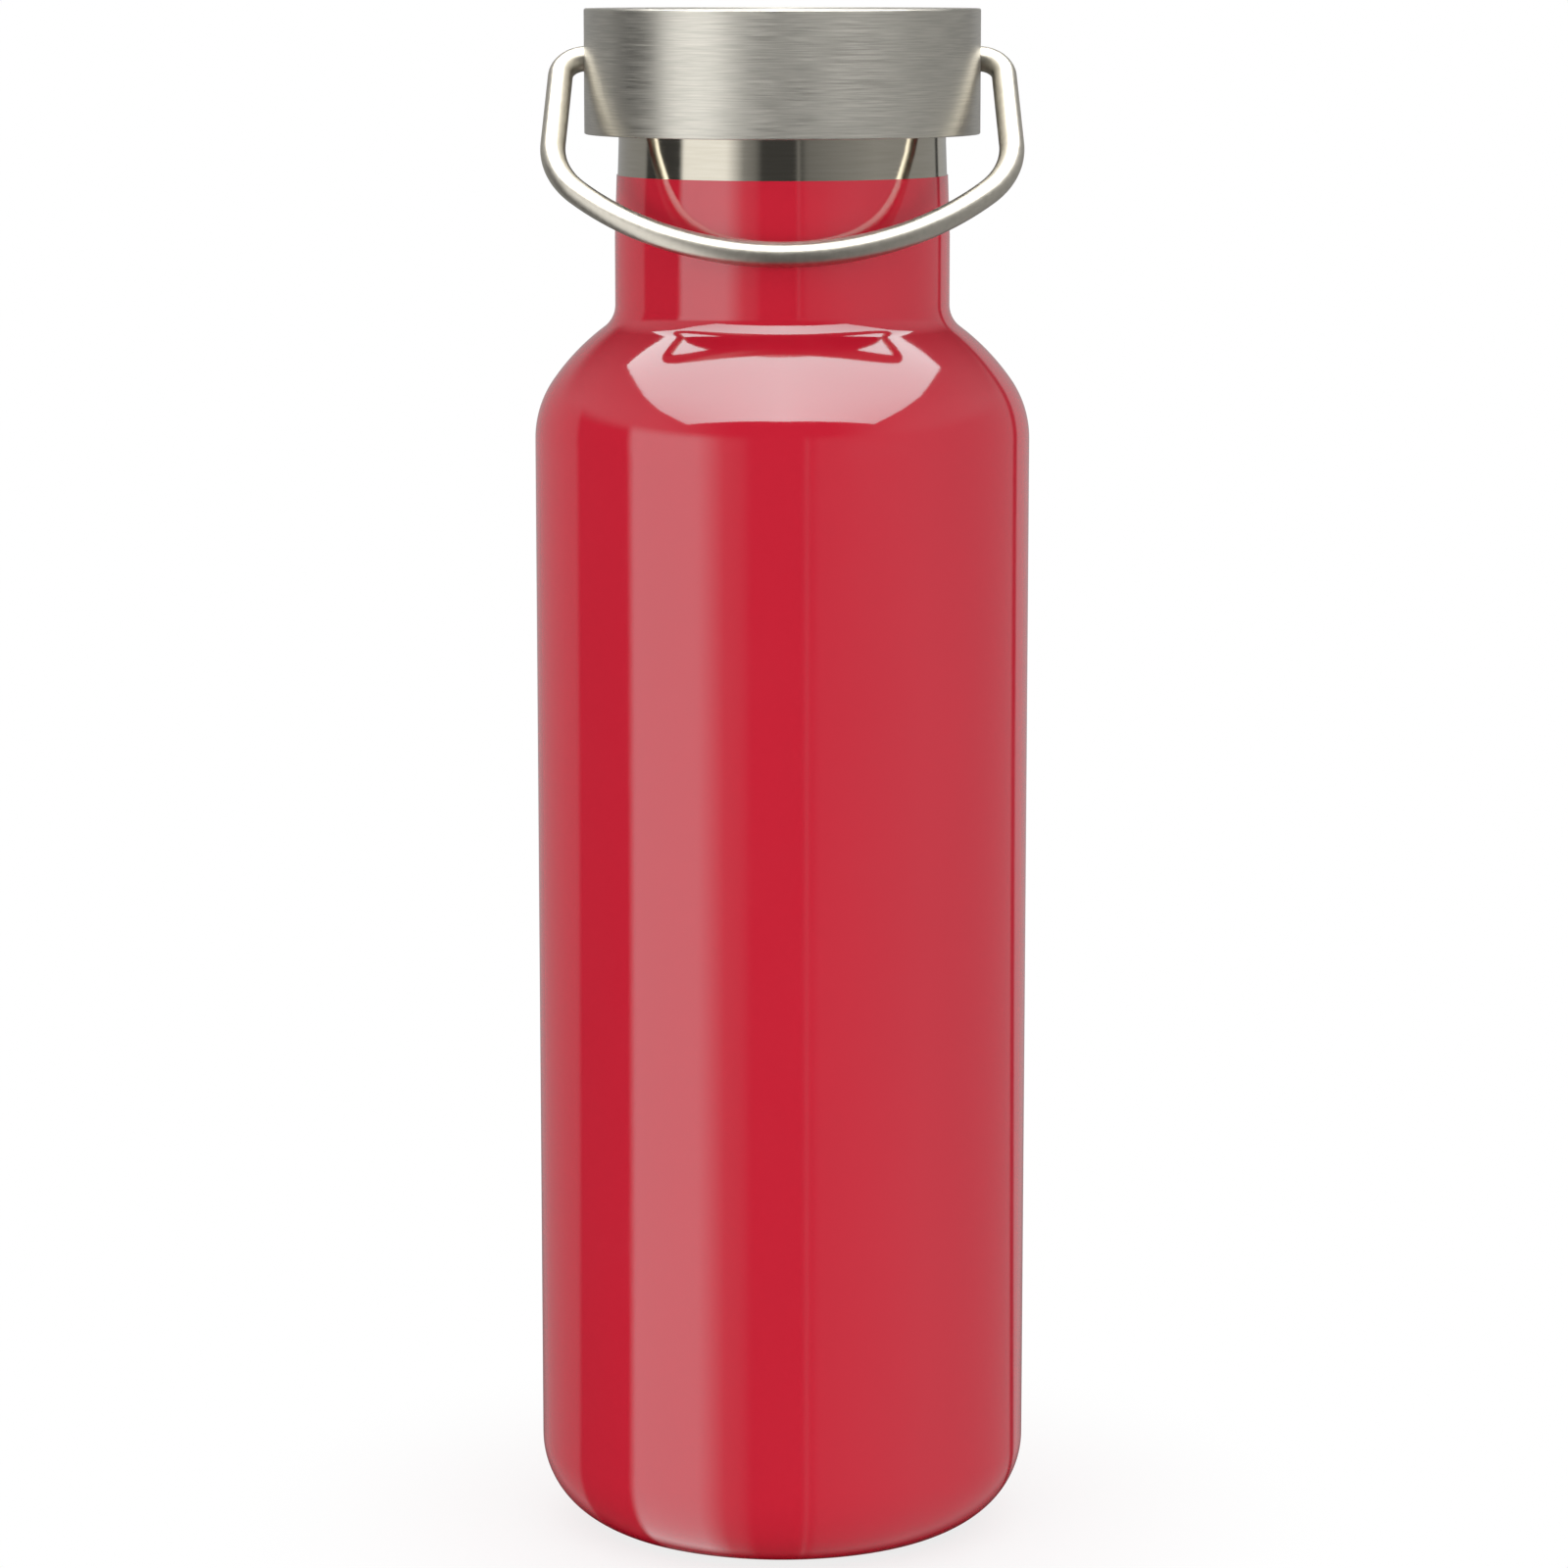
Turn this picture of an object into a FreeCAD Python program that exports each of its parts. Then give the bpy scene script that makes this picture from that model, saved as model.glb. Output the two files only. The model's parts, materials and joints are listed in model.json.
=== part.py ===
import FreeCAD, Part
import math
import os

# Insulated steel water bottle: a red coated double-wall bottle with a bare neck band,
# a brushed steel screw cap and a wire bail that swings on the cap.
# Millimetres, +Z up, origin at the centre of the foot plane. The front is -Y.

# Bottle, outside
BODY_RADIUS = 35.0              # over the red coat
FOOT_EDGE_RADIUS = 12.0         # rounding between the foot and the side, on the metal
BODY_STRAIGHT_TOP = 157.43      # height where the shoulder begins
SHOULDER_RADIUS = 14.31         # lower shoulder, on the metal
SHOULDER_TURN = 35.0            # degrees that the lower shoulder turns through
SHOULDER_TOP_RADIUS = 32.31     # flatter upper shoulder, on the metal
NECK_FILLET_RADIUS = 4.15       # hollow between shoulder and neck, on the metal
NECK_RADIUS = 23.45             # lower neck, on the metal
NECK_TOP_RADIUS = 23.0          # bare upper neck
NECK_STRAIGHT_LENGTH = 9.68     # lower neck, above the hollow
NECK_TAPER_LENGTH = 13.0
NECK_TOP_LENGTH = 7.0           # from the end of the taper to the rim
COAT_THICKNESS = 0.15
BARE_BAND_LENGTH = 11.5         # from the end of the red coat to the rim
COAT_FOOT_CLEARANCE = 1.0       # the coat stops this far above the foot plane
SHELL_WALL = 0.5

# Foot
FOOT_RING_WIDTH = 2.4           # flat ring that the bottle stands on
FOOT_LIP_HEIGHT = 3.4           # shell's edge, turned up inside the ring
BASE_COVER_RECESS = 0.6
BASE_COVER_WALL = 0.6
BASE_DISH_HEIGHT = 2.2
BASE_DISH_WALL = 0.6
SEAL_HOLE_RADIUS = 1.2
SEAL_BEAD_RADIUS = 3.0
SEAL_BEAD_HEIGHT = 0.5
GETTER_RADIUS = 4.5
GETTER_HEIGHT = 1.5
GETTER_EDGE_DISTANCE = 5.55     # from the getter's clip to the edge of the base dish
GETTER_CLIP_WALL = 0.4
GETTER_CLIP_LIP = 1.2

# Liner
VACUUM_GAP = 2.4
LINER_WALL = 0.5
LINER_BASE_HEIGHT = 8.0         # underside of the liner above the foot plane
LINER_EDGE_RADIUS = 9.0         # outer face of the liner's bottom corner
LINER_WELD_HEIGHT = 12.0        # seam of liner and liner base above the liner's underside
LINER_FILLET_RADIUS = 4.0
RIM_WIDTH = 1.75                # from the mouth's bore to the outside of the neck
LIP_THICKNESS = 1.0             # liner's lip, laid over the shell's upper edge
LIP_ROUNDING = 0.4

# Screw thread, right-handed, single start
THREAD_PITCH = 4.0
THREAD_TURNS = 2.0
THREAD_HEIGHT = 1.2
THREAD_ROOT_WIDTH = 1.7
THREAD_CREST_WIDTH = 1.1
THREAD_CLEARANCE = 0.3          # radial, crest to the facing wall
THREAD_BELOW_RIM = 11.0         # start of the liner's ridge below the rim
THREAD_SINK = 0.25              # how far a ridge is rooted in its wall

# Cap
CAP_RADIUS = 27.8
CAP_WALL = 0.6
CAP_EDGE_RADIUS = 0.3
CAP_INNER_EDGE_RADIUS = 0.4
CAP_OVERLAP = 5.8               # skirt below the rim
CAP_BOND_GAP = 0.05             # glue line between the steel cap and its insert
GASKET_HEIGHT = 2.0
GASKET_CLEARANCE = 0.25         # between the gasket and the plug
GASKET_OVERHANG = 0.3           # gasket beyond the rim
FLANGE_HEIGHT = 9.0
FLANGE_TOP_WALL = 2.0
INSERT_EDGE_CLEARANCE = 0.2     # insert's chamfer beyond the rounding inside the steel cap
SKIRT_RECESS = 0.8              # insert's skirt above the steel edge
SKIRT_CLEARANCE = 1.0           # insert's skirt around the neck
PLUG_WALL = 2.0
PLUG_LENGTH = 15.5              # below the rim
PLUG_COVER_WALL = 1.5
PLUG_FIT_GAP = 0.05             # foam and cover inside the plug

# Bail
WIRE_RADIUS = 1.75
PIVOT_ABOVE_FLANGE = 2.6
PIVOT_CLEARANCE = 0.08
SHELL_HOLE_CLEARANCE = 0.25
STUB_DEPTH = 3.6                # stub inside the insert
STUB_END_GAP = 0.3
STUB_BEND_RADIUS = 3.6
LEG_CLEARANCE = 3.05            # from the cap's side to the leg's centreline at the pivot
LEG_SPLAY = 3.0                 # degrees
CORNER_RADIUS = 11.5
GRIP_RADIUS = 40.5
BAIL_REACH = 36.5               # pivot axis to the grip's centreline
BAIL_REST_GAP = 0.3             # grip to the coated neck

# Heights and radii that follow
metal_radius = BODY_RADIUS - COAT_THICKNESS
shoulder_centre = (metal_radius - SHOULDER_RADIUS, BODY_STRAIGHT_TOP)
centre_distance = SHOULDER_TOP_RADIUS - SHOULDER_RADIUS
upper_shoulder_centre = (
    shoulder_centre[0] - centre_distance * math.cos(math.radians(SHOULDER_TURN)),
    shoulder_centre[1] - centre_distance * math.sin(math.radians(SHOULDER_TURN)),
)


def hollow_centre(depth, neck_r, hollow_r):
    """Centre of the hollow that joins the upper shoulder, at a depth below the metal, to a neck."""
    r = neck_r + hollow_r
    reach = SHOULDER_TOP_RADIUS - depth + hollow_r
    rise = math.sqrt(reach ** 2 - (r - upper_shoulder_centre[0]) ** 2)
    return (r, upper_shoulder_centre[1] + rise)


neck_hollow = hollow_centre(0, NECK_RADIUS, NECK_FILLET_RADIUS)
neck_start = neck_hollow[1]
taper_bottom = neck_start + NECK_STRAIGHT_LENGTH
taper_top = taper_bottom + NECK_TAPER_LENGTH
rim = taper_top + NECK_TOP_LENGTH
shell_top = rim - LIP_THICKNESS
coat_top = rim - BARE_BAND_LENGTH
foot_outer_r = metal_radius - FOOT_EDGE_RADIUS
foot_inner_r = foot_outer_r - FOOT_RING_WIDTH
dish_r = foot_inner_r
dish_top = BASE_DISH_HEIGHT + BASE_DISH_WALL
getter_x = dish_r - GETTER_EDGE_DISTANCE - GETTER_CLIP_WALL - GETTER_RADIUS

liner_depth = SHELL_WALL + VACUUM_GAP
liner_radius = metal_radius - liner_depth
mouth_radius = NECK_TOP_RADIUS - RIM_WIDTH
liner_neck_radius = mouth_radius + LINER_WALL
liner_hollow = hollow_centre(liner_depth, liner_neck_radius, LINER_FILLET_RADIUS)
liner_edge_centre_r = liner_radius - LINER_EDGE_RADIUS
liner_weld = LINER_BASE_HEIGHT + LINER_WELD_HEIGHT

cap_bottom = rim - CAP_OVERLAP
flange_bottom = rim + GASKET_HEIGHT
flange_top = flange_bottom + FLANGE_HEIGHT
cap_top = flange_top + CAP_WALL
insert_radius = CAP_RADIUS - CAP_WALL - CAP_BOND_GAP
insert_chamfer = CAP_INNER_EDGE_RADIUS + INSERT_EDGE_CLEARANCE
plug_radius = mouth_radius - THREAD_HEIGHT - THREAD_CLEARANCE
plug_inner_r = plug_radius - PLUG_WALL
plug_bottom = rim - PLUG_LENGTH
foam_top = flange_top - FLANGE_TOP_WALL
liner_thread_start = rim - THREAD_BELOW_RIM
plug_thread_start = liner_thread_start - THREAD_PITCH / 2

pivot_height = flange_bottom + PIVOT_ABOVE_FLANGE
leg_x = CAP_RADIUS + LEG_CLEARANCE
stub_end_x = insert_radius - STUB_DEPTH
rest_distance = NECK_RADIUS + COAT_THICKNESS + WIRE_RADIUS + BAIL_REST_GAP
rest_tilt = math.asin(rest_distance / BAIL_REACH)

AXIS = FreeCAD.Vector(0, 0, 1)
ORIGIN = FreeCAD.Vector(0, 0, 0)


def point(r, z):
    """A point of a turned profile, at radius r and height z."""
    return FreeCAD.Vector(r, 0, z)


def line(a, b):
    return Part.LineSegment(point(*a), point(*b)).toShape()


def arc(centre, radius, start_deg, end_deg):
    """An arc of a turned profile, through its middle angle."""
    angles = [math.radians(d) for d in (start_deg, (start_deg + end_deg) / 2, end_deg)]
    points = [point(centre[0] + radius * math.cos(a), centre[1] + radius * math.sin(a)) for a in angles]
    return Part.Arc(*points).toShape()


def turned(edges):
    """The solid that a closed profile makes about the bottle's axis."""
    wire = Part.Wire(Part.__sortEdges__(edges))
    return Part.Face(wire).revolve(ORIGIN, AXIS, 360)


def turned_polygon(corners):
    closed = corners + corners[:1]
    return turned([line(a, b) for a, b in zip(closed, closed[1:])])


def ring(inner_r, outer_r, bottom, top):
    if inner_r > 0:
        return turned_polygon([(inner_r, bottom), (outer_r, bottom), (outer_r, top), (inner_r, top)])
    return Part.makeCylinder(outer_r, top - bottom, point(0, bottom))


def meet_angle(from_centre, to_centre):
    """Direction in degrees from one arc's centre to the next one's."""
    return math.degrees(math.atan2(to_centre[1] - from_centre[1], to_centre[0] - from_centre[0]))


def outside_line(depth):
    """The bottle's side from foot to rim, as edges, at a depth below the metal surface.

    A negative depth lies outside the metal, on the coat."""
    edge_centre = (foot_outer_r, FOOT_EDGE_RADIUS)
    joint_deg = meet_angle(upper_shoulder_centre, neck_hollow)
    radius = metal_radius - depth
    neck = NECK_RADIUS - depth
    neck_top = NECK_TOP_RADIUS - depth
    return [
        line((foot_inner_r, depth), (foot_outer_r, depth)),
        arc(edge_centre, FOOT_EDGE_RADIUS - depth, -90, 0),
        line((radius, FOOT_EDGE_RADIUS), (radius, BODY_STRAIGHT_TOP)),
        arc(shoulder_centre, SHOULDER_RADIUS - depth, 0, SHOULDER_TURN),
        arc(upper_shoulder_centre, SHOULDER_TOP_RADIUS - depth, SHOULDER_TURN, joint_deg),
        arc(neck_hollow, NECK_FILLET_RADIUS + depth, joint_deg + 180, 180),
        line((neck, neck_start), (neck, taper_bottom)),
        line((neck, taper_bottom), (neck_top, taper_top)),
        line((neck_top, taper_top), (neck_top, shell_top)),
    ]


def layer(outer_depth, inner_depth):
    """The solid between two depths of the bottle's side."""
    outer = outside_line(outer_depth)
    inner = outside_line(inner_depth)
    caps = [
        line((foot_inner_r, outer_depth), (foot_inner_r, inner_depth)),
        line((NECK_TOP_RADIUS - outer_depth, shell_top), (NECK_TOP_RADIUS - inner_depth, shell_top)),
    ]
    return turned(outer + inner + caps)


def helix_ridge(root_r, crest_r, start):
    """A helical ridge with a tapered section, from a root radius to a crest radius."""
    half_root = THREAD_ROOT_WIDTH / 2
    half_crest = THREAD_CREST_WIDTH / 2
    corners = [(root_r, -half_root), (crest_r, -half_crest), (crest_r, half_crest), (root_r, half_root)]
    closed = corners + corners[:1]
    section = Part.Wire([line(a, b) for a, b in zip(closed, closed[1:])])
    path = Part.Wire(Part.makeHelix(THREAD_PITCH, THREAD_PITCH * THREAD_TURNS, (root_r + crest_r) / 2).Edges)
    ridge = path.makePipeShell([section], True, True)
    ridge.translate(FreeCAD.Vector(0, 0, start))
    return ridge


def liner_line(depth):
    """The liner's side from the weld seam up to the lip, at a depth below its outer face."""
    joint_deg = meet_angle(upper_shoulder_centre, liner_hollow)
    below = liner_depth + depth
    side = liner_radius - depth
    neck = liner_neck_radius - depth
    return [
        line((side, liner_weld), (side, BODY_STRAIGHT_TOP)),
        arc(shoulder_centre, SHOULDER_RADIUS - below, 0, SHOULDER_TURN),
        arc(upper_shoulder_centre, SHOULDER_TOP_RADIUS - below, SHOULDER_TURN, joint_deg),
        arc(liner_hollow, LINER_FILLET_RADIUS + depth, joint_deg + 180, 180),
        line((neck, liner_hollow[1]), (neck, shell_top)),
    ]


def make_outer_shell():
    side = layer(0, SHELL_WALL)
    lip = ring(foot_inner_r, foot_inner_r + SHELL_WALL, 0, FOOT_LIP_HEIGHT)
    return side.fuse(lip).removeSplitter()


def make_red_coat():
    whole = layer(-COAT_THICKNESS, 0)
    reach = BODY_RADIUS + COAT_THICKNESS
    return whole.common(ring(0, reach, COAT_FOOT_CLEARANCE, coat_top))


def make_inner_liner():
    tube = turned(
        liner_line(0)
        + liner_line(LINER_WALL)
        + [
            line((liner_radius - LINER_WALL, liner_weld), (liner_radius, liner_weld)),
            line((mouth_radius, shell_top), (liner_neck_radius, shell_top)),
        ]
    )
    lip = turned_polygon(
        [
            (mouth_radius, shell_top),
            (NECK_TOP_RADIUS, shell_top),
            (NECK_TOP_RADIUS, rim - LIP_ROUNDING),
            (NECK_TOP_RADIUS - LIP_ROUNDING, rim),
            (mouth_radius + LIP_ROUNDING, rim),
            (mouth_radius, rim - LIP_ROUNDING),
        ]
    )
    ridge = helix_ridge(mouth_radius + THREAD_SINK, mouth_radius - THREAD_HEIGHT, liner_thread_start)
    return tube.fuse([lip, ridge]).removeSplitter()


def make_liner_base():
    centre = (liner_edge_centre_r, LINER_BASE_HEIGHT + LINER_EDGE_RADIUS)
    inner_radius = LINER_EDGE_RADIUS - LINER_WALL
    floor = LINER_BASE_HEIGHT + LINER_WALL
    return turned(
        [
            line((0, LINER_BASE_HEIGHT), (liner_edge_centre_r, LINER_BASE_HEIGHT)),
            arc(centre, LINER_EDGE_RADIUS, -90, 0),
            line((liner_radius, centre[1]), (liner_radius, liner_weld)),
            line((liner_radius, liner_weld), (liner_radius - LINER_WALL, liner_weld)),
            line((liner_radius - LINER_WALL, liner_weld), (liner_radius - LINER_WALL, centre[1])),
            arc(centre, inner_radius, 0, -90),
            line((liner_edge_centre_r, floor), (0, floor)),
            line((0, floor), (0, LINER_BASE_HEIGHT)),
        ]
    )


def make_base_dish():
    return ring(SEAL_HOLE_RADIUS, dish_r, BASE_DISH_HEIGHT, dish_top)


def make_vacuum_seal():
    stem = ring(0, SEAL_HOLE_RADIUS, BASE_DISH_HEIGHT, dish_top)
    bead = ring(0, SEAL_BEAD_RADIUS, BASE_DISH_HEIGHT - SEAL_BEAD_HEIGHT, BASE_DISH_HEIGHT)
    return stem.fuse(bead).removeSplitter()


def make_base_cover():
    return ring(0, dish_r, BASE_COVER_RECESS, BASE_COVER_RECESS + BASE_COVER_WALL)


def make_getter():
    pellet = ring(0, GETTER_RADIUS, dish_top, dish_top + GETTER_HEIGHT)
    pellet.translate(FreeCAD.Vector(getter_x, 0, 0))
    return pellet


def make_getter_clip():
    top = dish_top + GETTER_HEIGHT
    outer = GETTER_RADIUS + GETTER_CLIP_WALL
    clip = turned_polygon(
        [
            (GETTER_RADIUS, dish_top),
            (outer, dish_top),
            (outer, top + GETTER_CLIP_WALL),
            (GETTER_RADIUS - GETTER_CLIP_LIP, top + GETTER_CLIP_WALL),
            (GETTER_RADIUS - GETTER_CLIP_LIP, top),
            (GETTER_RADIUS, top),
        ]
    )
    clip.translate(FreeCAD.Vector(getter_x, 0, 0))
    return clip


def pivot_bar(radius, half_length):
    """A bar along the bail's pivot axis."""
    start = FreeCAD.Vector(-half_length, 0, pivot_height)
    return Part.makeCylinder(radius, 2 * half_length, start, FreeCAD.Vector(1, 0, 0))


def make_cap_shell():
    inner = CAP_RADIUS - CAP_WALL
    outer_centre = (CAP_RADIUS - CAP_EDGE_RADIUS, cap_top - CAP_EDGE_RADIUS)
    inner_centre = (inner - CAP_INNER_EDGE_RADIUS, flange_top - CAP_INNER_EDGE_RADIUS)
    cup = turned(
        [
            line((0, flange_top), (inner_centre[0], flange_top)),
            arc(inner_centre, CAP_INNER_EDGE_RADIUS, 90, 0),
            line((inner, inner_centre[1]), (inner, cap_bottom)),
            line((inner, cap_bottom), (CAP_RADIUS, cap_bottom)),
            line((CAP_RADIUS, cap_bottom), (CAP_RADIUS, outer_centre[1])),
            arc(outer_centre, CAP_EDGE_RADIUS, 0, 90),
            line((outer_centre[0], cap_top), (0, cap_top)),
            line((0, cap_top), (0, flange_top)),
        ]
    )
    return cup.cut(pivot_bar(WIRE_RADIUS + SHELL_HOLE_CLEARANCE, CAP_RADIUS + CAP_WALL))


def make_cap_insert():
    skirt_inner = NECK_TOP_RADIUS + SKIRT_CLEARANCE
    skirt_bottom = cap_bottom + SKIRT_RECESS
    body = turned_polygon(
        [
            (0, foam_top),
            (plug_inner_r, foam_top),
            (plug_inner_r, plug_bottom),
            (plug_radius, plug_bottom),
            (plug_radius, flange_bottom),
            (skirt_inner, flange_bottom),
            (skirt_inner, skirt_bottom),
            (insert_radius, skirt_bottom),
            (insert_radius, flange_top - insert_chamfer),
            (insert_radius - insert_chamfer, flange_top),
            (0, flange_top),
        ]
    )
    ridge = helix_ridge(plug_radius - THREAD_SINK, plug_radius + THREAD_HEIGHT, plug_thread_start)
    socket_end = stub_end_x - STUB_END_GAP
    sockets = pivot_bar(WIRE_RADIUS + PIVOT_CLEARANCE, CAP_RADIUS).cut(
        pivot_bar(CAP_RADIUS, socket_end)
    )
    return body.fuse(ridge).cut(sockets).removeSplitter()


def make_plug_foam():
    return ring(0, plug_inner_r - PLUG_FIT_GAP, plug_bottom + PLUG_COVER_WALL, foam_top)


def make_plug_cover():
    return ring(0, plug_inner_r - PLUG_FIT_GAP, plug_bottom, plug_bottom + PLUG_COVER_WALL)


def make_gasket():
    return ring(plug_radius + GASKET_CLEARANCE, NECK_TOP_RADIUS + GASKET_OVERHANG, rim, flange_bottom)


def bail_point(x, reach):
    """A point of the bail's own plane, at its rest tilt, leaning on the front of the neck."""
    return FreeCAD.Vector(
        x, -reach * math.sin(rest_tilt), pivot_height - reach * math.cos(rest_tilt)
    )


def bail_arc(centre, radius, start, end):
    """An arc in the bail's plane between two angles in radians, measured from +X towards the grip."""
    angles = (start, (start + end) / 2, end)
    points = [
        bail_point(centre[0] + radius * math.cos(a), centre[1] + radius * math.sin(a)) for a in angles
    ]
    return Part.Arc(*points).toShape()


def mirrored(edges):
    return [e.mirror(ORIGIN, FreeCAD.Vector(1, 0, 0)) for e in edges]


def make_bail_handle():
    splay = math.radians(LEG_SPLAY)
    along = (math.sin(splay), math.cos(splay))
    inward = (-math.cos(splay), math.sin(splay))
    outward_angle = math.atan2(-inward[1], -inward[0])

    # Stub bend: touches the pivot axis and the leg
    bend_shift = (STUB_BEND_RADIUS - STUB_BEND_RADIUS * inward[1]) / along[1]
    bend_centre = (
        leg_x + bend_shift * along[0] + STUB_BEND_RADIUS * inward[0],
        STUB_BEND_RADIUS,
    )

    # Corner: touches the leg and the inside of the grip's circle
    grip_centre = (0, BAIL_REACH - GRIP_RADIUS)
    start = (leg_x + CORNER_RADIUS * inward[0] - grip_centre[0], CORNER_RADIUS * inward[1] - grip_centre[1])
    half_b = start[0] * along[0] + start[1] * along[1]
    rest_c = start[0] ** 2 + start[1] ** 2 - (GRIP_RADIUS - CORNER_RADIUS) ** 2
    shift = -half_b + math.sqrt(half_b ** 2 - rest_c)
    corner_centre = (
        leg_x + CORNER_RADIUS * inward[0] + shift * along[0],
        CORNER_RADIUS * inward[1] + shift * along[1],
    )
    grip_angle = math.atan2(corner_centre[1] - grip_centre[1], corner_centre[0] - grip_centre[0])

    leg_top = (
        bend_centre[0] - STUB_BEND_RADIUS * inward[0],
        bend_centre[1] - STUB_BEND_RADIUS * inward[1],
    )
    leg_foot = (
        corner_centre[0] - CORNER_RADIUS * inward[0],
        corner_centre[1] - CORNER_RADIUS * inward[1],
    )
    half = [
        Part.LineSegment(bail_point(stub_end_x, 0), bail_point(bend_centre[0], 0)).toShape(),
        bail_arc(bend_centre, STUB_BEND_RADIUS, -math.pi / 2, outward_angle),
        Part.LineSegment(bail_point(*leg_top), bail_point(*leg_foot)).toShape(),
        bail_arc(corner_centre, CORNER_RADIUS, outward_angle, grip_angle),
    ]
    grip = bail_arc(grip_centre, GRIP_RADIUS, grip_angle, math.pi - grip_angle)
    path = Part.Wire(Part.__sortEdges__(half + [grip] + mirrored(half)))
    section = Part.Wire(
        Part.makeCircle(WIRE_RADIUS, bail_point(stub_end_x, 0), FreeCAD.Vector(1, 0, 0))
    )
    return path.makePipeShell([section], True, False)


pieces = {
    "outer_shell": make_outer_shell(),
    "red_coat": make_red_coat(),
    "inner_liner": make_inner_liner(),
    "liner_base": make_liner_base(),
    "base_dish": make_base_dish(),
    "vacuum_seal": make_vacuum_seal(),
    "base_cover": make_base_cover(),
    "getter": make_getter(),
    "getter_clip": make_getter_clip(),
    "cap_shell": make_cap_shell(),
    "cap_insert": make_cap_insert(),
    "plug_foam": make_plug_foam(),
    "plug_cover": make_plug_cover(),
    "sealing_gasket": make_gasket(),
    "bail_handle": make_bail_handle(),
}

os.makedirs("parts", exist_ok=True)
for name, shape in pieces.items():
    shape.exportStep(f"parts/{name}.step")
    box = shape.BoundBox
    print(
        f"{name}: {shape.ShapeType}, {len(shape.Solids)} solid, valid {shape.isValid()}, "
        f"{shape.Volume:.1f} mm3, z {box.ZMin:.2f} to {box.ZMax:.2f}, x {box.XMin:.2f} to {box.XMax:.2f}"
    )
print(f"rim {rim:.2f}, coat top {coat_top:.2f}, cap {cap_bottom:.2f} to {cap_top:.2f}")
print(f"pivot {pivot_height:.2f}, rest tilt {math.degrees(rest_tilt):.2f} degrees")
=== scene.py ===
"""Looks of the insulated steel bottle: turned shells, bent wire bail, finishes and a plain studio."""
import json
import math

import bpy
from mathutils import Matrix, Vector


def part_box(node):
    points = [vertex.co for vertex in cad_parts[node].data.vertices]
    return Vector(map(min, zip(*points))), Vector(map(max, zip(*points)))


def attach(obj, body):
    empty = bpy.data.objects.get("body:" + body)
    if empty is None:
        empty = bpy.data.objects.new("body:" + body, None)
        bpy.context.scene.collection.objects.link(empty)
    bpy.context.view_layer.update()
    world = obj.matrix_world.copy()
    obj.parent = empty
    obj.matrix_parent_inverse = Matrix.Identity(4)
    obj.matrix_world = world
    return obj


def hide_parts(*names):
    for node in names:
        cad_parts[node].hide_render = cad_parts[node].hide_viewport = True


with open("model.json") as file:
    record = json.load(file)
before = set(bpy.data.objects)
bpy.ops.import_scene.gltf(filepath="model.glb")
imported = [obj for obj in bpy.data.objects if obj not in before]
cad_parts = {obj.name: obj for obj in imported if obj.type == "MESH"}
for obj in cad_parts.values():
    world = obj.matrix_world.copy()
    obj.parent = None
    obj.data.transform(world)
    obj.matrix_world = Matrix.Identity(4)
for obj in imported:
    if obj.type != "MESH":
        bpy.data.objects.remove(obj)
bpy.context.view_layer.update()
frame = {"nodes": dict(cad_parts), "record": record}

# Sizes in metres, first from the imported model
coat_low, coat_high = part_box("red_coat")
_, shell_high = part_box("outer_shell")
cap_low, cap_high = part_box("cap_shell")
joints = {joint["name"]: joint for joint in frame["record"]["behaviour"]["joints"]}
PIVOT_HEIGHT = joints["bail_swing"]["pos_m"][2]

METAL_RADIUS = shell_high.x
COAT_THICKNESS = coat_high.x - METAL_RADIUS
COAT_BOTTOM = coat_low.z
COAT_TOP = coat_high.z
SHELL_TOP = shell_high.z
CAP_RADIUS = cap_high.x
CAP_BOTTOM = cap_low.z
CAP_TOP = cap_high.z

# The rest of the bottle's outline
SHELL_WALL = 0.0005
FOOT_EDGE_RADIUS = 0.012
FOOT_RING_WIDTH = 0.0024
FOOT_LIP_HEIGHT = 0.0034
BODY_STRAIGHT_TOP = 0.15743
SHOULDER_RADIUS = 0.01431
SHOULDER_TURN = math.radians(35.0)
SHOULDER_TOP_RADIUS = 0.03231
NECK_FILLET_RADIUS = 0.00415
NECK_RADIUS = 0.02345
NECK_TOP_RADIUS = 0.023
NECK_STRAIGHT_LENGTH = 0.00968
NECK_TAPER_LENGTH = 0.013

# Cap
CAP_WALL = 0.0006
CAP_EDGE_RADIUS = 0.0003
CAP_RIM_ROUNDING = 0.0002
CAP_HOLE_RADIUS = 0.002

# Bail
WIRE_RADIUS = 0.00175
STUB_END = 0.02355
STUB_BEND_RADIUS = 0.0036
LEG_X = 0.03085
LEG_SPLAY = math.radians(3.0)
CORNER_RADIUS = 0.0115
GRIP_RADIUS = 0.0405
BAIL_REACH = 0.0365
BAIL_REST_GAP = 0.0003

# How finely round forms are divided
TURN_SEGMENTS = 288
ARC_STEP = math.radians(2.0)
WIRE_SIDES = 48
SHARP_ANGLE = math.radians(32)
SUPPORT = 0.0008                # extra loop beside the end of a straight stretch
SAME_POINT = 1e-7               # points closer than this are one point
LEVEL_SLACK = 1e-9              # a point this far past a cutting level is still kept

# Finishes
NOISE_RANGE = (0.3, 0.7)        # noise values that tones and gloss are spread over
LACQUER_RELIEF = 0.00002        # height of the surface's relief
STEEL_RELIEF = 0.00001
MOULDED_RELIEF = 0.00003
BRUSHING_TURN = 0.25            # a quarter turn: highlights stretch across the brushed circles

# Camera, from the photograph's outline
CAMERA_PLACE = (0.0, -0.7004, 0.22225)
CAMERA_PITCH = 0.16225
FOCAL_PIXELS = 5045.7
IMAGE_PIXELS = 1600
CENTRE_PIXEL = 798.3
SENSOR_MM = 36.0

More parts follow.
